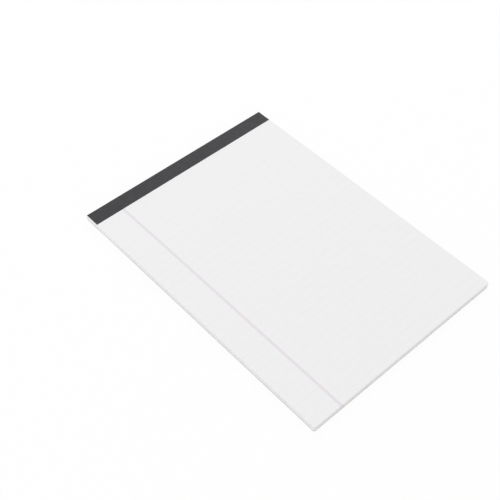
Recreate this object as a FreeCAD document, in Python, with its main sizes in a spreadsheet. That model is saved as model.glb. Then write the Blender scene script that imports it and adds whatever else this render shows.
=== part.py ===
"""Legal pad: ruled sheets on a chipboard back, stapled and taped at the head.

The pad lies flat on its board. Millimetres, +X across the page as it is read,
+Y towards the taped head, +Z up, origin on the table under the pad's middle.
"""

import FreeCAD, Part
import math
import os

import Sketcher

SIZES = (
    ("sheet_width", 215.9, "8 1/2 in, along the rules"),
    ("sheet_length", 298.45, "11 3/4 in, head to foot"),
    ("sheet_count", 50, "leaves in the block"),
    ("sheet_caliper", 0.10, "one leaf, pressed as it is under the staples"),
    ("loose_rise", 0.55, "how much fuller the block stands where nothing presses it"),
    ("flat_margin", 3.0, "block still pressed flat, past the tape's edge"),
    ("swell_length", 62.0, "run over which the block swells to its full height"),
    ("corner_radius", 1.5, "the two free corners, rubbed round"),
    ("board_thickness", 0.76, "30 point chipboard"),
    ("tape_thickness", 0.15, "coated paper tape"),
    ("tape_front", 15.7, "tape on the face"),
    ("tape_back", 15.7, "tape on the board"),
    ("tape_gap", 0.1, "between the tape's edge and the step pressed in the board"),
    ("fold_radius", 0.3, "inside of the tape's two folds"),
    ("wire_width", 0.5, "flat stitching wire, along the pad"),
    ("wire_thickness", 0.42, "the same wire, in the plane of its bends"),
    ("wire_clearance", 0.03, "play of the wire in its slits and grooves"),
    ("staple_crown", 12.5, "one leg's axis to the other's"),
    ("staple_bend", 0.5, "bend radius of the wire's axis"),
    ("staple_clinch", 4.6, "leg's axis to the tip of its clinch"),
    ("staple_inset", 8.0, "sheets' head edge to the staples"),
    ("staple_pitch", 76.0, "one staple to the next"),
    ("staple_count", 3, "staples along the head"),
)

# Along the pad, Y. The whole pad is longer than its sheets by the tape round their head.
FREE_END = "-(sizes.sheet_length + sizes.tape_thickness) / 2"
HEAD = "(sizes.sheet_length - sizes.tape_thickness) / 2"
TAPE_SPINE = "(sizes.sheet_length + sizes.tape_thickness) / 2"
TAPE_FRONT_EDGE = f"{HEAD} - sizes.tape_front"
TAPE_BACK_EDGE = f"{HEAD} - sizes.tape_back"
BOARD_STEP = f"{TAPE_BACK_EDGE} - sizes.tape_gap"
SWELL_FOOT = f"{TAPE_FRONT_EDGE} - sizes.flat_margin"
SWELL_CREST = f"{SWELL_FOOT} - sizes.swell_length"
STAPLE_LINE = f"{HEAD} - sizes.staple_inset"
WIRE_LOWER = f"{STAPLE_LINE} - sizes.wire_width / 2"
WIRE_UPPER = f"{STAPLE_LINE} + sizes.wire_width / 2"
GROOVE_LOWER = f"{WIRE_LOWER} - sizes.wire_clearance"
GROOVE_UPPER = f"{WIRE_UPPER} + sizes.wire_clearance"

# Across the pad, X.
LEFT_SIDE = "-sizes.sheet_width / 2"
RIGHT_SIDE = "sizes.sheet_width / 2"
FIRST_STAPLE = "-(sizes.staple_count - 1) * sizes.staple_pitch / 2"
LEG = "sizes.staple_crown / 2"
LEG_OUTSIDE = f"{LEG} + sizes.wire_thickness / 2 + sizes.wire_clearance"
LEG_BEND = f"{LEG} - sizes.staple_bend"
CLINCH_TIP = f"{LEG} - sizes.staple_clinch"
CLINCH_GROOVE_END = f"{CLINCH_TIP} - sizes.wire_clearance"

# Upwards from the table, Z.
TABLE = "0"
BOARD_TAPED_FACE = "sizes.tape_thickness"
BOARD_TOP = "sizes.board_thickness"
PRESSED_FACE = "sizes.board_thickness + sizes.sheet_count * sizes.sheet_caliper"
LOOSE_FACE = f"{PRESSED_FACE} + sizes.loose_rise"
TAPE_TOP = f"{PRESSED_FACE} + sizes.tape_thickness"
CLINCH_AXIS = f"{BOARD_TAPED_FACE} + sizes.wire_thickness / 2"
CROWN_AXIS = f"{PRESSED_FACE} - sizes.wire_thickness / 2"

RIGHT_ANGLE = math.pi / 2
SAME_SPOT = 0.01

document = FreeCAD.newDocument("legal_pad")
sheet = document.addObject("Spreadsheet::Sheet", "sizes")
for row, (alias, size, meaning) in enumerate(SIZES, start=1):
    sheet.set(f"A{row}", meaning)
    sheet.set(f"B{row}", str(size))
    sheet.setAlias(f"B{row}", alias)
document.recompute()


def amount(expression):
    """The present value of an expression in the sheet's sizes."""
    return float(sheet.evalExpression(expression))


def spot(across, up):
    """A point of a sketch, from two expressions."""
    return FreeCAD.Vector(amount(across), amount(up), 0)


def on_staple(side, distance):
    """Across the pad: a distance from the first staple's middle, -1 to its left or 1 to its right."""
    return f"{FIRST_STAPLE} + {side} * ({distance})"


def new_body(label):
    """An empty sub-part. It lies in the pad's own frame."""
    body = document.addObject("PartDesign::Body", label)
    body.Label = label
    body.Placement = FreeCAD.Placement()
    return body


def origin_feature(body, role):
    """One of the body's own origin planes or axes."""
    return next(item for item in body.Origin.OriginFeatures if item.Role == role)


def new_sketch(body, label, plane, offset=None):
    """An empty sketch on one of the body's origin planes, or moved off it along its normal."""
    sketch = body.newObject("Sketcher::SketchObject", label)
    sketch.AttachmentSupport = [(origin_feature(body, plane), "")]
    sketch.MapMode = "FlatFace"
    if offset:
        sketch.setExpression("AttachmentOffset.Base.z", offset)
    return sketch


def rule(sketch, constraint, size):
    """Adds a constraint whose value follows an expression."""
    number = sketch.addConstraint(constraint)
    sketch.setExpression(f"Constraints[{number}]", size)


def pin(sketch, curve, point, across, up):
    """Holds one point of a curve, measured from the sketch's origin."""
    rule(sketch, Sketcher.Constraint("DistanceX", -1, 1, curve, point, amount(across)), across)
    if up == TABLE:
        sketch.addConstraint(Sketcher.Constraint("PointOnObject", curve, point, -1))
    else:
        rule(sketch, Sketcher.Constraint("DistanceY", -1, 1, curve, point, amount(up)), up)


def join(sketch, first, first_point, second, second_point):
    """Closes a point of one curve onto a point of another."""
    sketch.addConstraint(Sketcher.Constraint("Coincident", first, first_point, second, second_point))


def straight(sketch, start, end):
    """A straight run between two pinned points."""
    curve = sketch.addGeometry(Part.LineSegment(spot(*start), spot(*end)), False)
    pin(sketch, curve, 1, *start)
    pin(sketch, curve, 2, *end)
    return curve


def chain(sketch, corners, closed=True):
    """Straight runs from corner to corner. Each corner is pinned once."""
    ends = corners[1:] + corners[:1] if closed else corners[1:]
    curves = []
    for start, end in zip(corners, ends):
        curves.append(sketch.addGeometry(Part.LineSegment(spot(*start), spot(*end)), False))
        pin(sketch, curves[-1], 1, *start)
    for curve, following in zip(curves, curves[1:]):
        join(sketch, curve, 2, following, 1)
    if closed:
        join(sketch, curves[-1], 2, curves[0], 1)
    else:
        pin(sketch, curves[-1], 2, *corners[-1])
    return curves


def arc(sketch, centre, radius, start_angle, end_angle):
    """An arc drawn anticlockwise, for the caller to join and hold."""
    circle = Part.Circle(centre, FreeCAD.Vector(0, 0, 1), radius)
    return sketch.addGeometry(Part.ArcOfCircle(circle, start_angle, end_angle), False)


def bend(sketch, first, second, centre, start_angle):
    """A quarter turn of the wire, anticlockwise, from the end of one run to the start of the next."""
    radius = amount("sizes.staple_bend")
    curve = arc(sketch, spot(*centre), radius, start_angle, start_angle + RIGHT_ANGLE)
    join(sketch, first, 2, curve, 1)
    join(sketch, curve, 2, second, 1)
    across = centre[0]
    rule(sketch, Sketcher.Constraint("DistanceX", -1, 1, curve, 3, amount(across)), across)


def oblong(sketch, left, right, low, high):
    """A closed oblong between four sides."""
    chain(sketch, [(left, low), (right, low), (right, high), (left, high)])


def wire_groove(sketch, left, right):
    """The plan of a groove or slit for the first staple's wire, along its crown."""
    oblong(sketch, left, right, GROOVE_LOWER, GROOVE_UPPER)


def pad(body, sketch, label, length, both_ways=False):
    """Raises a sketch into a solid, along its normal or equally both ways."""
    feature = body.newObject("PartDesign::Pad", label)
    feature.Profile = sketch
    feature.SideType = "Symmetric" if both_ways else "One side"
    feature.setExpression("Length", length)
    document.recompute()
    return feature


def pocket(body, sketch, label, depth=None, upwards=False):
    """Cuts a sketch into the body, to a depth or right through."""
    before = body.Shape.Volume
    feature = body.newObject("PartDesign::Pocket", label)
    feature.Profile = sketch
    feature.Reversed = upwards
    if depth:
        feature.setExpression("Length", depth)
    else:
        feature.Type = "ThroughAll"
    document.recompute()
    if body.Shape.Volume >= before:
        raise RuntimeError(f"{label} cuts nothing")
    return feature


def fillet(body, label, radius, *middles):
    """Rounds the edges whose middles lie at the given points."""
    base = body.Tip
    names = [
        f"Edge{number}"
        for number, edge in enumerate(base.Shape.Edges, start=1)
        if any(edge.CenterOfMass.distanceToPoint(middle) < SAME_SPOT for middle in middles)
    ]
    if len(names) != len(middles):
        raise RuntimeError(f"{label} found {len(names)} edges, not {len(middles)}")
    feature = body.newObject("PartDesign::Fillet", label)
    feature.Base = (base, names)
    feature.setExpression("Radius", radius)
    document.recompute()


def across_pad(along, up):
    """The middle of an edge that runs across the pad."""
    return FreeCAD.Vector(0, amount(along), amount(up))


def free_corners(low, high):
    """The middles of the two upright edges at the free end."""
    middle = (amount(low) + amount(high)) / 2
    return [FreeCAD.Vector(amount(side), amount(FREE_END), middle) for side in (LEFT_SIDE, RIGHT_SIDE)]


def staple_row(body, label, originals):
    """Repeats what belongs to the first staple along the head."""
    pattern = body.newObject("PartDesign::LinearPattern", label)
    pattern.Originals = originals
    pattern.Direction = (origin_feature(body, "X_Axis"), [""])
    pattern.Mode = "Spacing"
    pattern.setExpression("Offset", "sizes.staple_pitch")
    pattern.setExpression("Occurrences", "sizes.staple_count")
    body.Tip = pattern
    document.recompute()


def leg_slits(body):
    """Slits for the first staple's legs, long enough inwards to clear the wire's bends."""
    sketch = new_sketch(body, "leg_slits", "XY_Plane")
    wire_groove(sketch, on_staple(-1, LEG_OUTSIDE), on_staple(-1, LEG_BEND))
    wire_groove(sketch, on_staple(1, LEG_BEND), on_staple(1, LEG_OUTSIDE))
    return pocket(body, sketch, "leg_slits_cut", upwards=True)


def swell(sketch, foot_run, crest_run):
    """Two equal arcs that lift the face from the pressed height to the loose one."""
    foot, crest = spot(SWELL_FOOT, PRESSED_FACE), spot(SWELL_CREST, LOOSE_FACE)
    length, rise = foot.x - crest.x, crest.y - foot.y
    radius = (length**2 + rise**2) / (4 * rise)
    lean = math.asin(length / 2 / radius)
    upward = FreeCAD.Vector(0, radius, 0)
    lower = arc(sketch, foot + upward, radius, -RIGHT_ANGLE - lean, -RIGHT_ANGLE)
    upper = arc(sketch, crest - upward, radius, RIGHT_ANGLE - lean, RIGHT_ANGLE)
    join(sketch, foot_run, 2, lower, 2)
    join(sketch, upper, 2, crest_run, 1)
    sketch.addConstraint(Sketcher.Constraint("Vertical", lower, 2, lower, 3))
    sketch.addConstraint(Sketcher.Constraint("Vertical", upper, 2, upper, 3))
    sketch.addConstraint(Sketcher.Constraint("Equal", lower, upper))
    sketch.addConstraint(Sketcher.Constraint("Tangent", lower, 1, upper, 1))


def make_page_block():
    """The sheets as one block, pressed thin at the head and fuller towards the free end."""
    body = new_body("page_block")
    profile = new_sketch(body, "side_view", "YZ_Plane")
    runs = chain(
        profile,
        [
            (SWELL_CREST, LOOSE_FACE),
            (FREE_END, LOOSE_FACE),
            (FREE_END, BOARD_TOP),
            (HEAD, BOARD_TOP),
            (HEAD, PRESSED_FACE),
            (SWELL_FOOT, PRESSED_FACE),
        ],
        closed=False,
    )
    swell(profile, runs[-1], runs[0])
    pad(body, profile, "block", "sizes.sheet_width", both_ways=True)
    fillet(body, "free_corners", "sizes.corner_radius", *free_corners(BOARD_TOP, LOOSE_FACE))
    fillet(body, "head_edge", "sizes.fold_radius", across_pad(HEAD, PRESSED_FACE))
    slits = leg_slits(body)
    groove = new_sketch(body, "crown_groove", "XY_Plane", PRESSED_FACE)
    wire_groove(groove, on_staple(-1, LEG_OUTSIDE), on_staple(1, LEG_OUTSIDE))
    crown = pocket(body, groove, "crown_groove_cut", "sizes.wire_thickness")
    staple_row(body, "staple_cuts", [slits, crown])
    return body


def make_backing_board():
    """The board, with a step pressed into its back for the tape and grooves for the clinches."""
    body = new_body("backing_board")
    outline = new_sketch(body, "outline", "XY_Plane")
    oblong(outline, LEFT_SIDE, RIGHT_SIDE, FREE_END, HEAD)
    pad(body, outline, "board", BOARD_TOP)
    fillet(body, "free_corners", "sizes.corner_radius", *free_corners(TABLE, BOARD_TOP))
    step = new_sketch(body, "tape_step", "XY_Plane")
    oblong(step, LEFT_SIDE, RIGHT_SIDE, BOARD_STEP, HEAD)
    pocket(body, step, "tape_step_cut", BOARD_TAPED_FACE, upwards=True)
    fillet(body, "head_edge", "sizes.fold_radius", across_pad(HEAD, BOARD_TAPED_FACE))
    slits = leg_slits(body)
    grooves = new_sketch(body, "clinch_grooves", "XY_Plane", BOARD_TAPED_FACE)
    wire_groove(grooves, on_staple(-1, LEG_OUTSIDE), on_staple(-1, CLINCH_GROOVE_END))
    wire_groove(grooves, on_staple(1, CLINCH_GROOVE_END), on_staple(1, LEG_OUTSIDE))
    clinches = pocket(body, grooves, "clinch_grooves_cut", "sizes.wire_thickness", upwards=True)
    staple_row(body, "staple_cuts", [slits, clinches])
    return body


def make_binding_tape():
    """One strip of tape, glued over the face, folded round the head and onto the board."""
    body = new_body("binding_tape")
    section = new_sketch(body, "section", "YZ_Plane")
    chain(
        section,
        [
            (TAPE_FRONT_EDGE, TAPE_TOP),
            (TAPE_SPINE, TAPE_TOP),
            (TAPE_SPINE, TABLE),
            (TAPE_BACK_EDGE, TABLE),
            (TAPE_BACK_EDGE, BOARD_TAPED_FACE),
            (HEAD, BOARD_TAPED_FACE),
            (HEAD, PRESSED_FACE),
            (TAPE_FRONT_EDGE, PRESSED_FACE),
        ],
    )
    pad(body, section, "strip", "sizes.sheet_width", both_ways=True)
    inside = across_pad(HEAD, PRESSED_FACE), across_pad(HEAD, BOARD_TAPED_FACE)
    fillet(body, "folds_inside", "sizes.fold_radius", *inside)
    outside = across_pad(TAPE_SPINE, TAPE_TOP), across_pad(TAPE_SPINE, TABLE)
    fillet(body, "folds_outside", "sizes.fold_radius + sizes.tape_thickness", *outside)
    return body


def make_staples():
    """Wire staples driven from the face, their legs clinched inwards into the board."""
    body = new_body("staples")
    path = new_sketch(body, "wire_path", "XZ_Plane", f"-({STAPLE_LINE})")
    low, high = f"{CLINCH_AXIS} + sizes.staple_bend", f"{CROWN_AXIS} - sizes.staple_bend"
    left, left_bend, left_tip = (on_staple(-1, place) for place in (LEG, LEG_BEND, CLINCH_TIP))
    right, right_bend, right_tip = (on_staple(1, place) for place in (LEG, LEG_BEND, CLINCH_TIP))
    right_clinch = straight(path, (right_tip, CLINCH_AXIS), (right_bend, CLINCH_AXIS))
    right_leg = straight(path, (right, low), (right, high))
    crown = straight(path, (right_bend, CROWN_AXIS), (left_bend, CROWN_AXIS))
    left_leg = straight(path, (left, high), (left, low))
    left_clinch = straight(path, (left_bend, CLINCH_AXIS), (left_tip, CLINCH_AXIS))
    bend(path, right_clinch, right_leg, (right_bend, low), -RIGHT_ANGLE)
    bend(path, right_leg, crown, (right_bend, high), 0)
    bend(path, crown, left_leg, (left_bend, high), RIGHT_ANGLE)
    bend(path, left_leg, left_clinch, (left_bend, low), 2 * RIGHT_ANGLE)

    section = new_sketch(body, "wire_section", "YZ_Plane", right_tip)
    clinch_top = f"{BOARD_TAPED_FACE} + sizes.wire_thickness"
    oblong(section, WIRE_LOWER, WIRE_UPPER, BOARD_TAPED_FACE, clinch_top)

    staple = body.newObject("PartDesign::AdditivePipe", "staple")
    staple.Profile = section
    staple.Spine = path
    document.recompute()
    staple_row(body, "staple_set", [staple])
    return body


def check(sub_parts):
    """Stops if any object failed, or a sub-part isn't the sound solids it should be."""
    for item in document.Objects:
        if {"Invalid", "Error"} & set(item.State):
            raise RuntimeError(f"{item.Name} failed: {item.State}")
    for body, solids in sub_parts.items():
        shape = body.Shape
        if shape.isNull() or not shape.isValid() or len(shape.Solids) != solids:
            raise RuntimeError(f"{body.Label} isn't {solids} sound solids")


staple_total = round(amount("sizes.staple_count"))
parts = {
    make_page_block(): 1,
    make_backing_board(): 1,
    make_binding_tape(): 1,
    make_staples(): staple_total,
}
document.recompute()
check(parts)
os.makedirs("parts", exist_ok=True)
for part in parts:
    part.Shape.exportStep(f"parts/{part.Label}.step")
    print(part.Label, len(part.Shape.Solids), "solids", round(part.Shape.Volume, 1), "mm3")
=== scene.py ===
import math
import random
from itertools import accumulate

import bmesh
import bpy
from mathutils import Matrix, Vector, noise


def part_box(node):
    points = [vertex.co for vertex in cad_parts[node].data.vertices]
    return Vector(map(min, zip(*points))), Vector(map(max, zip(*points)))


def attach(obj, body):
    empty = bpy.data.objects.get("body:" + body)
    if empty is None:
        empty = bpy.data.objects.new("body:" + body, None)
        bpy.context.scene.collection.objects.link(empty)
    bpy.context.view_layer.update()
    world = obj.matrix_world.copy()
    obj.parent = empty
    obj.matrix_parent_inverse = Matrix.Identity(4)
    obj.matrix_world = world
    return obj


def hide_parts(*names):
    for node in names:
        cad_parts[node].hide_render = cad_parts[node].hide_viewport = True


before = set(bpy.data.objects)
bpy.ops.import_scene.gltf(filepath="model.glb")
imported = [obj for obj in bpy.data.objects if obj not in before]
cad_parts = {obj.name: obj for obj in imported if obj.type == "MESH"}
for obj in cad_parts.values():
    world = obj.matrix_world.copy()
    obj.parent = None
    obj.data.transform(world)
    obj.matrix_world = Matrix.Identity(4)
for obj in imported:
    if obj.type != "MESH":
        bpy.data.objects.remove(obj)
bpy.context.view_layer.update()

MM = 0.001
TINY = 1e-6

# Sizes read off the solids, in metres as everything here is.
block_low, block_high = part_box("page_block")
board_low, board_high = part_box("backing_board")
tape_low, tape_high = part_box("binding_tape")
staples_low, staples_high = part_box("staples")
HALF_WIDTH = block_high.x
FREE_END = block_low.y
HEAD = block_high.y
TAPE_THICKNESS = tape_high.y - HEAD
TAPE_EDGE = tape_low.y
TAPE_FLANGE = HEAD - TAPE_EDGE
BOARD_TOP = board_high.z
LOOSE_FACE = block_high.z
PRESSED_FACE = tape_high.z - TAPE_THICKNESS
STAPLE_LINE = (staples_low.y + staples_high.y) / 2

# The block: its leaves, the run over which the air between them opens, and how uneven leaves and air are.
LEAVES = 50
CALIPER = (PRESSED_FACE - BOARD_TOP) / LEAVES
SWELL_FOOT = TAPE_EDGE - 3.0 * MM
SWELL_LENGTH = 62.0 * MM
CORNER_RADIUS = 1.5 * MM
CUT_UNEVENNESS = 0.05 * MM
COCKLE = 0.10 * MM
COCKLE_LENGTH = 60.0 * MM
AIR_PATCH = 45.0 * MM

# The board: how rough its cut edges are, how deep they are rough, how far they are crushed, and the run of
# the step where it is let in for the tape.
BOARD_ROUGHNESS = 0.05 * MM
BOARD_ROUGH_DEPTH = 0.1 * MM
BOARD_CRUSH = 0.07 * MM
BOARD_STEP_RUN = 0.04 * MM

# The binding: a strip folded at the head, over three flat wire staples.
FOLD_RADIUS = 0.3 * MM
TAPE_ROUNDING = 0.03 * MM
TAPE_GAP = 0.1 * MM
STAPLES = 3
STAPLE_WIDTH = 12.92 * MM
STAPLE_PRINT = 0.045 * MM
STAPLE_PRINT_REACH = 0.9 * MM

# What is printed on the leaves, measured from their head and left edges. A rule is as wide as a dot of the
# page's baked picture, so that none is lost there.
RULE_PITCH = 11 / 32 * 25.4 * MM
FIRST_RULE = HEAD - 56.0 * MM
RULE_WIDTH = 0.42 * MM
MARGIN_LINE = -HALF_WIDTH + 30.0 * MM
MARGIN_SPREAD = 1.42 * MM
MARGIN_WIDTH = 0.44 * MM
TEAR_LINE = HEAD - 0.75 * 25.4 * MM
TEAR_PITCH = 1.1 * MM
TEAR_CUT = 0.75 * MM
TEAR_WIDTH = 0.07 * MM

# The photograph's camera, worked out from the pad's corners: its angles in degrees, its lens in millimetres.
CAMERA_AZIMUTH = -43.337
CAMERA_ELEVATION = 49.796
CAMERA_ROLL = 1.322
CAMERA_LENS = 68.49
CAMERA_DISTANCE = 861.26 * MM
CAMERA_TO_LEFT = 29.398 * MM
CAMERA_UP = 2.183 * MM

# How much of what is seen of the table is plain white, how bright the room is for the pad, and how far the
# table reaches.
PLAIN_WHITE_SHARE = 0.90
ROOM_LIGHT = 0.87
TABLE_RADIUS = 6.0

# Colours, linear.
PAPER = (0.876, 0.874, 0.878, 1)
PAPER_SHADE = (0.869, 0.868, 0.873, 1)
RULE_INK = (0.829, 0.830, 0.836, 1)
MARGIN_INK = (0.636, 0.507, 0.636, 1)
TEAR_SHADE = (0.64, 0.64, 0.64, 1)
# The cut edge, and its darker colour for the painted shade between the leaves and for the knife marks.
CUT_EDGE = (0.885, 0.883, 0.882, 1)
CUT_EDGE_SHADE_AND_MARKS = (0.835, 0.832, 0.830, 1)
BOARD_GREY = (0.455, 0.437, 0.407, 1)
BOARD_DARK = (0.270, 0.252, 0.225, 1)
BOARD_LIGHT = (0.560, 0.545, 0.515, 1)
BOARD_FLECK = (0.160, 0.140, 0.118, 1)
TAPE_CHARCOAL = (0.0560, 0.0542, 0.0595, 1)
# A darker charcoal, for the tape's mottle and for painted shade in the hollows of its emboss.
TAPE_DARK = (0.0450, 0.0437, 0.0478, 1)
TAPE_RUBBED = (0.110, 0.107, 0.108, 1)
WIRE = (0.62, 0.62, 0.61, 1)
WIRE_DARK = (0.496, 0.496, 0.488, 1)
TABLE_WHITE = (0.94, 0.94, 0.94, 1)


def clamp(value, low=0.0, high=1.0):
    """The value, kept between two limits."""
    return min(max(value, low), high)


def swell(y):
    """How far the block has opened, 0 under the tape to 1 in its loose part, along two equal arcs."""
    run = clamp((SWELL_FOOT - y) / SWELL_LENGTH)
    return 2 * run * run if run < 0.5 else 1 - 2 * (1 - run) ** 2


def waver(x, y, length, seed):
    """Smooth unevenness between -1 and 1 that takes about this length to come and go."""
    return noise.noise(Vector((x / length, y / length, seed)))


def steps(start, end, most):
    """Evenly spaced places strictly between two ends, no further apart than most."""
    count = math.ceil(abs(end - start) / most)
    return [start + (end - start) * number / count for number in range(1, count)]


def cut_across(bm, places, axis):
    """Cuts the whole mesh at each place along one axis, so that it can bend there."""
    for place in places:
        point, normal = Vector(), Vector()
        point[axis], normal[axis] = place, 1
        whole = bm.verts[:] + bm.edges[:] + bm.faces[:]
        bmesh.ops.bisect_plane(bm, geom=whole, dist=TINY, plane_co=point, plane_no=normal)


def slab(low, high):
    """A square-edged block between two corners."""
    bm = bmesh.new()
    bmesh.ops.create_cube(bm, size=1)
    bmesh.ops.scale(bm, vec=high - low, verts=bm.verts)
    bmesh.ops.translate(bm, vec=(low + high) / 2, verts=bm.verts)
    return bm


def round_free_corners(bm, segments):
    """Rounds the two upright edges at the free end."""
    corners = [
        edge
        for edge in bm.edges
        if all(vert.co.y < FREE_END + TINY for vert in edge.verts)
        and abs(edge.verts[0].co.x - edge.verts[1].co.x) < TINY
    ]
    bmesh.ops.bevel(
        bm, geom=corners, offset=CORNER_RADIUS, segments=segments, profile=0.5, affect="EDGES", material=-1
    )


def finish_piece(bm, name, materials, slot, *nodes):
    """Makes the mesh a piece of the pad, at the origin, standing for its solid."""
    mesh = bpy.data.meshes.new(name)
    bm.to_mesh(mesh)
    bm.free()
    for material in materials:
        mesh.materials.append(material)
    piece = bpy.data.objects.new(name, mesh)
    bpy.context.scene.collection.objects.link(piece)
    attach(piece, "root")
    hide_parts(*nodes)


class Finish:
    """A material under construction: its tree, its shader and the piece's own coordinates."""

    def __init__(self, name, roughness, specular):
        self.material = bpy.data.materials.new(name)
        self.material.use_nodes = True
        self.tree = self.material.node_tree
        self.shader = self.tree.nodes["Principled BSDF"]
        self.shader.inputs["Roughness"].default_value = roughness
        self.shader.inputs["Specular IOR Level"].default_value = specular
        self.place = self.add("ShaderNodeTexCoord").outputs["Object"]
        split = self.add("ShaderNodeSeparateXYZ", {"Vector": self.place})
        self.x, self.y, self.z = split.outputs

    def add(self, kind, sockets=None, **settings):
        """A node with its settings, and its sockets linked to an output or set to a value."""
        node = self.tree.nodes.new(kind)
        for setting, value in settings.items():
            setattr(node, setting, value)
        for socket, value in (sockets or {}).items():
            if isinstance(value, bpy.types.NodeSocket):
                self.tree.links.new(value, node.inputs[socket])
            else:
                node.inputs[socket].default_value = value
        return node

    def sum(self, operation, first, second=0.0, third=0.0):
        """One step of arithmetic."""
        return self.add("ShaderNodeMath", {0: first, 1: second, 2: third}, operation=operation).outputs[0]

    def fade(self, value, start, end, low=0.0, high=1.0):
        """Low at or before start, high at or past end, smooth in between."""
        sockets = {"Value": value, "From Min": start, "From Max": end, "To Min": low, "To Max": high}
        return self.add("ShaderNodeMapRange", sockets, interpolation_type="SMOOTHSTEP").outputs[0]

    def grain(self, size, detail=3.0, stretch=(1, 1, 1)):
        """Cloudy unevenness, 0 to 1, with lumps about this size in metres, drawn out along an axis."""
        scale = tuple(1 / (size * pull) for pull in stretch)
        placed = self.add("ShaderNodeMapping", {"Vector": self.place, "Scale": scale}).outputs[0]
        return self.add("ShaderNodeTexNoise", {"Vector": placed, "Scale": 1.0, "Detail": detail}).outputs[0]

    def blend(self, share, first, second):
        """From the first colour to the second as share goes from 0 to 1."""
        node = self.add("ShaderNodeMix", {"Factor": share}, data_type="RGBA")
        for socket, value in ((6, first), (7, second)):
            if isinstance(value, bpy.types.NodeSocket):
                self.tree.links.new(value, node.inputs[socket])
            else:
                node.inputs[socket].default_value = value
        return node.outputs[2]

    def colour(self, value):
        """The finish's colour comes from this."""
        self.tree.links.new(value, self.shader.inputs["Base Color"])

    def roughness(self, value):
        """The finish's roughness varies with this."""
        self.tree.links.new(value, self.shader.inputs["Roughness"])

    def relief(self, height, depth):
        """Fine relief of this depth in metres, from a height of 0 to 1."""
        bump = self.add("ShaderNodeBump", {"Height": height, "Distance": depth, "Strength": 1.0})
        self.tree.links.new(bump.outputs[0], self.shader.inputs["Normal"])

    def line(self, distance, width):
        """1 within half a width of a line, soft at its edges."""
        return self.fade(distance, width * 0.62, width * 0.38)

    def rule_lines(self):
        """The rules, full width, from the first one down."""
        down = self.sum("SUBTRACT", FIRST_RULE, self.y)
        line = self.line(self.sum("PINGPONG", down, RULE_PITCH / 2), RULE_WIDTH)
        return self.sum("MULTIPLY", line, self.sum("GREATER_THAN", down, -RULE_PITCH / 2))

    def margin_lines(self):
        """The two lines of the margin, from head to foot."""
        away = self.sum("ABSOLUTE", self.sum("SUBTRACT", self.x, MARGIN_LINE))
        return self.line(self.sum("ABSOLUTE", self.sum("SUBTRACT", away, MARGIN_SPREAD / 2)), MARGIN_WIDTH)


def ruled_paper():
    """Matt writing paper, faintly cloudy, with pale rules, a double margin line and a row of tear cuts."""
    finish = Finish("ruled_paper", roughness=0.82, specular=0.25)
    cloud = finish.grain(5 * MM, 4)
    colour = finish.blend(finish.fade(cloud, 0.35, 0.65), PAPER_SHADE, PAPER)
    print_grain = finish.fade(finish.grain(0.35 * MM, 2), 0.25, 0.6, 0.72, 1)
    rules = finish.sum("MULTIPLY", finish.rule_lines(), print_grain)
    margin = finish.sum("MULTIPLY", finish.margin_lines(), print_grain)
    colour = finish.blend(rules, colour, RULE_INK)
    colour = finish.blend(margin, colour, MARGIN_INK)
    # The tear cuts: dashes of painted shade, also sunk a little in the relief.
    across = finish.sum("PINGPONG", finish.x, TEAR_PITCH / 2)
    dash = finish.fade(across, TEAR_CUT / 2 + 0.05 * MM, TEAR_CUT / 2 - 0.05 * MM)
    tear = finish.line(finish.sum("ABSOLUTE", finish.sum("SUBTRACT", finish.y, TEAR_LINE)), TEAR_WIDTH)
    tear = finish.sum("MULTIPLY", tear, dash)
    finish.colour(finish.blend(tear, colour, TEAR_SHADE))
    fibres = finish.sum("MULTIPLY_ADD", cloud, 0.4, finish.grain(0.28 * MM, 3))
    finish.relief(finish.sum("SUBTRACT", fibres, tear), 0.010 * MM)
    return finish.material


def cut_paper():
    """The guillotined edge of the block: painted shading between the leaves, faint knife marks, and ink where
    the print runs off.
    """
    finish = Finish("cut_paper_edge", roughness=0.9, specular=0.15)
    # Lines along the edge, about one to a leaf, are painted shade between the leaves. The knife marks are
    # real marks of the cut, and together they darken the edge and give its relief.
    painted_leaf_gap_shade = finish.grain(0.09 * MM, 2, (110, 110, 1))
    knife_marks = finish.grain(0.45 * MM, 3, (1, 1, 16))
    leaf_shade_and_knife_marks = finish.sum("MULTIPLY_ADD", knife_marks, 0.3, finish.sum("MULTIPLY", painted_leaf_gap_shade, 0.7))
    colour = finish.blend(finish.fade(leaf_shade_and_knife_marks, 0.36, 0.60), CUT_EDGE_SHADE_AND_MARKS, CUT_EDGE)
    colour = finish.blend(finish.sum("MULTIPLY", finish.rule_lines(), 0.5), colour, RULE_INK)
    colour = finish.blend(finish.sum("MULTIPLY", finish.margin_lines(), 0.55), colour, MARGIN_INK)
    finish.colour(colour)
    finish.relief(leaf_shade_and_knife_marks, 0.02 * MM)
    return finish.material


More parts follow.
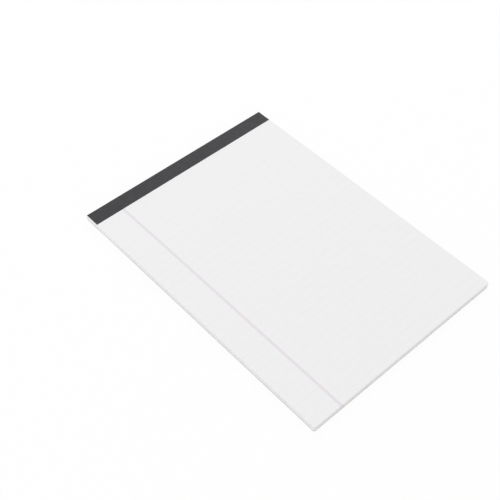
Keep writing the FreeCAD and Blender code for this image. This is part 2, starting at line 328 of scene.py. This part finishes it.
def grey_chipboard():
    """Uncoated board from waste paper: grey pulp with darker and lighter fibres in all directions."""
    finish = Finish("grey_chipboard", roughness=0.93, specular=0.12)
    cloud = finish.grain(6 * MM, 5)
    pulp = finish.grain(0.5 * MM, 5)
    along = finish.grain(0.22 * MM, 2, (9, 1, 1))
    across = finish.grain(0.24 * MM, 2, (1, 8, 1))
    dark_flecks = finish.grain(1.1 * MM, 1)
    pale_flecks = finish.grain(0.9 * MM, 1, (1, 2, 1))
    colour = finish.blend(finish.fade(cloud, 0.3, 0.7, 0.0, 0.14), BOARD_GREY, BOARD_DARK)
    colour = finish.blend(finish.fade(pulp, 0.38, 0.68, 0.0, 0.45), colour, BOARD_LIGHT)
    colour = finish.blend(finish.fade(along, 0.58, 0.70, 0.0, 0.65), colour, BOARD_DARK)
    colour = finish.blend(finish.fade(across, 0.60, 0.72, 0.0, 0.65), colour, BOARD_LIGHT)
    colour = finish.blend(finish.fade(dark_flecks, 0.74, 0.78, 0.0, 0.75), colour, BOARD_FLECK)
    finish.colour(finish.blend(finish.fade(pale_flecks, 0.74, 0.78, 0.0, 0.7), colour, BOARD_LIGHT))
    finish.relief(finish.sum("ADD", pulp, finish.sum("ADD", along, across)), 0.025 * MM)
    return finish.material


def binding_paper():
    """Charcoal coated paper tape, finely embossed, with a low sheen, rubbed paler at fold and ends."""
    finish = Finish("charcoal_tape", roughness=0.56, specular=0.20)
    grain = finish.grain(0.32 * MM, 3)
    along = finish.grain(0.15 * MM, 2, (14, 1, 1))
    across = finish.grain(0.15 * MM, 2, (1, 10, 1))
    emboss = finish.sum("ADD", along, across)
    colour = finish.blend(finish.fade(finish.grain(4 * MM, 4), 0.3, 0.7), TAPE_DARK, TAPE_CHARCOAL)
    # Darker where the emboss is low: painted shade in its hollows.
    colour = finish.blend(finish.fade(emboss, 0.75, 1.15, 0.6, 0.0), colour, TAPE_DARK)
    at_fold = finish.fade(finish.y, HEAD - 0.5 * MM, HEAD)
    at_ends = finish.fade(finish.sum("ABSOLUTE", finish.x), HALF_WIDTH - 0.8 * MM, HALF_WIDTH)
    worn_grain = finish.fade(grain, 0.5, 0.72, 0.0, 0.45)
    rubbed = finish.sum("MULTIPLY", finish.sum("MAXIMUM", at_fold, at_ends), worn_grain)
    finish.colour(finish.blend(rubbed, colour, TAPE_RUBBED))
    finish.roughness(finish.fade(grain, 0.3, 0.7, 0.50, 0.64))
    finish.relief(finish.sum("MULTIPLY_ADD", emboss, 1.2, grain), 0.03 * MM)
    return finish.material


def stitching_wire():
    """Galvanised flat wire, drawn along its length."""
    finish = Finish("stitching_wire", roughness=0.34, specular=0.5)
    finish.shader.inputs["Metallic"].default_value = 1.0
    drawn = finish.grain(0.05 * MM, 3, (30, 1, 1))
    finish.colour(finish.blend(finish.fade(drawn, 0.35, 0.65), WIRE, WIRE_DARK))
    finish.relief(drawn, 0.006 * MM)
    return finish.material


def leaf_blank(column, row):
    """One leaf, flat, cut into columns and rows no larger than asked, its cut edges marked as such."""
    low = Vector((-HALF_WIDTH, FREE_END, 0))
    high = Vector((HALF_WIDTH, HEAD, CALIPER))
    bm = slab(low, high)
    round_free_corners(bm, 5)
    cut_across(bm, steps(-HALF_WIDTH, HALF_WIDTH, column), 0)
    cut_across(bm, steps(FREE_END, SWELL_FOOT, row) + [SWELL_FOOT], 1)
    bm.normal_update()
    for face in bm.faces:
        face.material_index = 0 if abs(face.normal.z) > 0.5 else 1
    mesh = bpy.data.meshes.new("leaf_blank")
    bm.to_mesh(mesh)
    bm.free()
    return mesh


def air_under_leaves(x, y, shares):
    """How much air lies under each leaf at one place of the page, from the lowest leaf up."""
    opened = [share * (1 + 0.9 * waver(x, y, AIR_PATCH, gap * 7.3)) for gap, share in enumerate(shares)]
    cockled = COCKLE * (0.5 + 0.5 * waver(x, y, COCKLE_LENGTH, 3.7))
    air = (LOOSE_FACE - PRESSED_FACE - cockled) * swell(y)
    return [air * part / sum(opened) for part in accumulate(opened)]


def leaves():
    """Fifty leaves, pressed together at the head and a little apart elsewhere, no two cut quite alike."""
    chance = random.Random(11)
    air_shares = [0.5 + 0.5 * chance.expovariate(1) for _ in range(LEAVES)]
    paper = [ruled_paper(), cut_paper()]
    inner = leaf_blank(column=7 * MM, row=14 * MM)
    stack = bmesh.new()
    air_below = {}
    laid = 0
    for number in range(LEAVES - 1):
        stack.from_mesh(inner)
        stack.verts.ensure_lookup_table()
        sides = 1 - chance.random() * CUT_UNEVENNESS / HALF_WIDTH
        foot = 1 - chance.random() * CUT_UNEVENNESS / (HEAD - FREE_END)
        lay_leaf(stack.verts[laid:], number, sides, foot, air_shares, air_below)
        laid = len(stack.verts)
    finish_piece(stack, "leaf_block", paper, "ruled_paper", "page_block")
    top = bmesh.new()
    top.from_mesh(leaf_blank(column=4 * MM, row=4 * MM))
    lay_leaf(top.verts, LEAVES - 1, 1, 1, air_shares, air_below)
    finish_piece(top, "top_leaf", paper, "ruled_paper", "page_block")


def lay_leaf(verts, number, sides, foot, air_shares, air_below):
    """Puts a flat leaf in its place in the block, cut a little short at its sides and foot."""
    for vert in verts:
        x, y, rise = vert.co
        place = (round(x / TINY), round(y / TINY))
        if place not in air_below:
            air_below[place] = air_under_leaves(x, y, air_shares)
        vert.co.x = x * sides
        vert.co.y = HEAD - (HEAD - y) * foot
        vert.co.z = BOARD_TOP + number * CALIPER + rise + air_below[place][number]


def torn_away(place):
    """How much of the board's cut edge the knife took along at this place."""
    return BOARD_ROUGHNESS * (0.5 + 0.5 * noise.noise(place / (0.5 * MM)))


def board():
    """The chipboard back, with crushed edges, rough where it is cut, and let in for the tape."""
    bm = slab(board_low, board_high)
    round_free_corners(bm, 6)
    rim = [edge for edge in bm.edges if abs(edge.verts[0].co.z - edge.verts[1].co.z) < TINY]
    bmesh.ops.bevel(bm, geom=rim, offset=BOARD_CRUSH, segments=2, profile=0.5, affect="EDGES", material=-1)
    step = TAPE_EDGE - TAPE_GAP
    at_step = [step, step + BOARD_STEP_RUN]
    cut_across(bm, steps(-HALF_WIDTH, HALF_WIDTH, 1.2 * MM), 0)
    cut_across(bm, steps(FREE_END, step, 1.5 * MM) + at_step + steps(step, HEAD, 1.5 * MM), 1)
    cut_across(bm, steps(0, BOARD_TOP, 0.2 * MM), 2)
    for vert in bm.verts:
        x, y, z = vert.co
        at_side = abs(x) > HALF_WIDTH - BOARD_ROUGH_DEPTH
        at_foot = y < FREE_END + BOARD_ROUGH_DEPTH
        if at_side:
            vert.co.x -= math.copysign(torn_away(vert.co), x)
        if at_foot:
            vert.co.y += torn_away(vert.co)
        if y > step + BOARD_STEP_RUN / 2 and z < TAPE_THICKNESS:
            vert.co.z = TAPE_THICKNESS
    finish_piece(bm, "chipboard_back", [grey_chipboard()], "chipboard", "backing_board")


def tape():
    """The strip of binding tape, printed through by the staples, folded round the head."""
    spine = tape_high.z - 2 * TAPE_THICKNESS - 2 * FOLD_RADIUS
    flat = TAPE_FLANGE - FOLD_RADIUS
    quarter = (FOLD_RADIUS + TAPE_THICKNESS / 2) * math.pi / 2
    strip = 2 * flat + spine + 2 * quarter
    bm = slab(Vector((-HALF_WIDTH, 0, 0)), Vector((HALF_WIDTH, strip, TAPE_THICKNESS)))
    bmesh.ops.bevel(
        bm, geom=bm.edges[:], offset=TAPE_ROUNDING, segments=2, profile=0.5, affect="EDGES", material=-1
    )
    cut_across(bm, steps(-HALF_WIDTH, HALF_WIDTH, 1.2 * MM), 0)
    front_bend = steps(flat, flat + quarter, quarter / 7)
    back_bend = steps(flat + quarter + spine, strip - flat, quarter / 7)
    cut_across(bm, steps(0, flat, 0.6 * MM) + [flat] + front_bend, 1)
    cut_across(bm, back_bend + [strip - flat] + steps(strip - flat, strip, 1.5 * MM), 1)
    cut_across(bm, [flat + quarter, flat + quarter + spine], 1)
    pitch = (staples_high.x - staples_low.x - STAPLE_WIDTH) / (STAPLES - 1)
    for vert in bm.verts:
        along, above = vert.co.y, vert.co.z
        lift = 0.0
        if along < flat:
            y = TAPE_EDGE + along
            nearest = round(vert.co.x / pitch) * pitch
            past_crown = max(abs(vert.co.x - nearest) - STAPLE_WIDTH / 2, 0)
            reach = math.hypot(past_crown, y - STAPLE_LINE) / STAPLE_PRINT_REACH
            lift = STAPLE_PRINT * (1 - clamp(reach)) ** 2 * (1 + 2 * clamp(reach))
            lift = lift * above / TAPE_THICKNESS
        vert.co = fold(vert.co.x, along, above + lift, flat, quarter, spine)
    finish_piece(bm, "binding_strip", [binding_paper()], "black_tape", "binding_tape")


def fold(x, along, above, flat, quarter, spine):
    """Where a point of the flat strip goes when it is folded over the face, down the head and under."""
    bend_top = PRESSED_FACE - FOLD_RADIUS
    bend_back = TAPE_THICKNESS + FOLD_RADIUS
    bend_head = HEAD - FOLD_RADIUS
    outwards = FOLD_RADIUS + above
    if along <= flat:
        return Vector((x, TAPE_EDGE + along, PRESSED_FACE + above))
    along -= flat
    if along <= quarter:
        turn = along / quarter * math.pi / 2
        return Vector((x, bend_head + outwards * math.sin(turn), bend_top + outwards * math.cos(turn)))
    along -= quarter
    if along <= spine:
        return Vector((x, HEAD + above, bend_top - along))
    along -= spine
    if along <= quarter:
        turn = along / quarter * math.pi / 2
        return Vector((x, bend_head + outwards * math.cos(turn), bend_back - outwards * math.sin(turn)))
    return Vector((x, bend_head - (along - quarter), TAPE_THICKNESS - above))


def staples():
    """The staples keep their solids, in bright wire."""
    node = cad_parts["staples"]
    wire = stitching_wire()
    node.data.materials.clear()
    node.data.materials.append(wire)


def white_floor():
    """A white table that shows as plain white, apart from a soft shadow round the pad."""
    material = bpy.data.materials.new("white_table")
    material.use_nodes = True
    tree = material.node_tree
    tree.nodes.clear()
    output = tree.nodes.new("ShaderNodeOutputMaterial")
    mix = tree.nodes.new("ShaderNodeMixShader")
    table = tree.nodes.new("ShaderNodeBsdfDiffuse")
    table.inputs["Color"].default_value = TABLE_WHITE
    glow = tree.nodes.new("ShaderNodeEmission")
    glow.inputs["Strength"].default_value = 1.0
    share = tree.nodes.new("ShaderNodeMath")
    share.operation = "MULTIPLY"
    share.inputs[1].default_value = PLAIN_WHITE_SHARE
    tree.links.new(seen(tree), share.inputs[0])
    tree.links.new(share.outputs[0], mix.inputs[0])
    tree.links.new(table.outputs[0], mix.inputs[1])
    tree.links.new(glow.outputs[0], mix.inputs[2])
    tree.links.new(mix.outputs[0], output.inputs["Surface"])
    bm = bmesh.new()
    bmesh.ops.create_circle(bm, cap_ends=True, segments=96, radius=TABLE_RADIUS)
    mesh = bpy.data.meshes.new("table_top")
    bm.to_mesh(mesh)
    bm.free()
    mesh.materials.append(material)
    floor = bpy.data.objects.new("table_top", mesh)
    bpy.context.scene.collection.objects.link(floor)


def seen(tree):
    """1 for what is looked at directly, in a gloss or through a clear surface, and 0 for light on its way."""
    path = tree.nodes.new("ShaderNodeLightPath")
    total = path.outputs["Is Camera Ray"]
    for ray in ("Is Glossy Ray", "Is Transmission Ray"):
        either = tree.nodes.new("ShaderNodeMath")
        either.operation = "MAXIMUM"
        tree.links.new(total, either.inputs[0])
        tree.links.new(path.outputs[ray], either.inputs[1])
        total = either.outputs[0]
    return total


def white_room():
    """Even white light from all round, with plain white behind the pad."""
    world = bpy.data.worlds.new("white_room")
    bpy.context.scene.world = world
    world.use_nodes = True
    tree = world.node_tree
    background = tree.nodes["Background"]
    background.inputs["Color"].default_value = (1, 1, 1, 1)
    strength = tree.nodes.new("ShaderNodeMapRange")
    strength.inputs["To Min"].default_value = ROOM_LIGHT
    strength.inputs["To Max"].default_value = 1.0
    tree.links.new(seen(tree), strength.inputs["Value"])
    tree.links.new(strength.outputs[0], background.inputs["Strength"])


def softbox(name, place, width, watts):
    """A large soft lamp that faces the pad."""
    light = bpy.data.lights.new(name, "AREA")
    light.size = width
    light.energy = watts
    lamp = bpy.data.objects.new(name, light)
    lamp.location = place
    lamp.rotation_euler = (-Vector(place)).to_track_quat("-Z", "Y").to_euler()
    bpy.context.scene.collection.objects.link(lamp)


def camera():
    """The photograph's camera, in its direction, its roll and its place."""
    azimuth, elevation = math.radians(CAMERA_AZIMUTH), math.radians(CAMERA_ELEVATION)
    roll = math.radians(CAMERA_ROLL)
    level = Vector((math.cos(azimuth), math.sin(azimuth), 0))
    outwards = Vector((math.sin(azimuth), -math.cos(azimuth), 0))
    back = outwards * math.cos(elevation) + Vector((0, 0, math.sin(elevation)))
    upright = back.cross(level)
    right = level * math.cos(roll) + upright * math.sin(roll)
    up = upright * math.cos(roll) - level * math.sin(roll)
    data = bpy.data.cameras.new("camera")
    data.sensor_width = 36
    data.lens = CAMERA_LENS
    data.clip_start, data.clip_end = 0.01, 100
    view = bpy.data.objects.new("camera", data)
    place = back * CAMERA_DISTANCE - right * CAMERA_TO_LEFT + up * CAMERA_UP
    view.matrix_world = Matrix.Translation(place) @ Matrix((right, up, back)).transposed().to_4x4()
    bpy.context.scene.collection.objects.link(view)
    bpy.context.scene.camera = view


leaves()
board()
tape()
staples()
white_floor()
white_room()
softbox("back_softbox", place=(1.10, 0.85, 1.05), width=0.7, watts=4.0)
softbox("left_softbox", place=(-1.40, 0.20, 0.70), width=1.0, watts=3.0)
camera()
bpy.context.scene.view_settings.view_transform = "Standard"
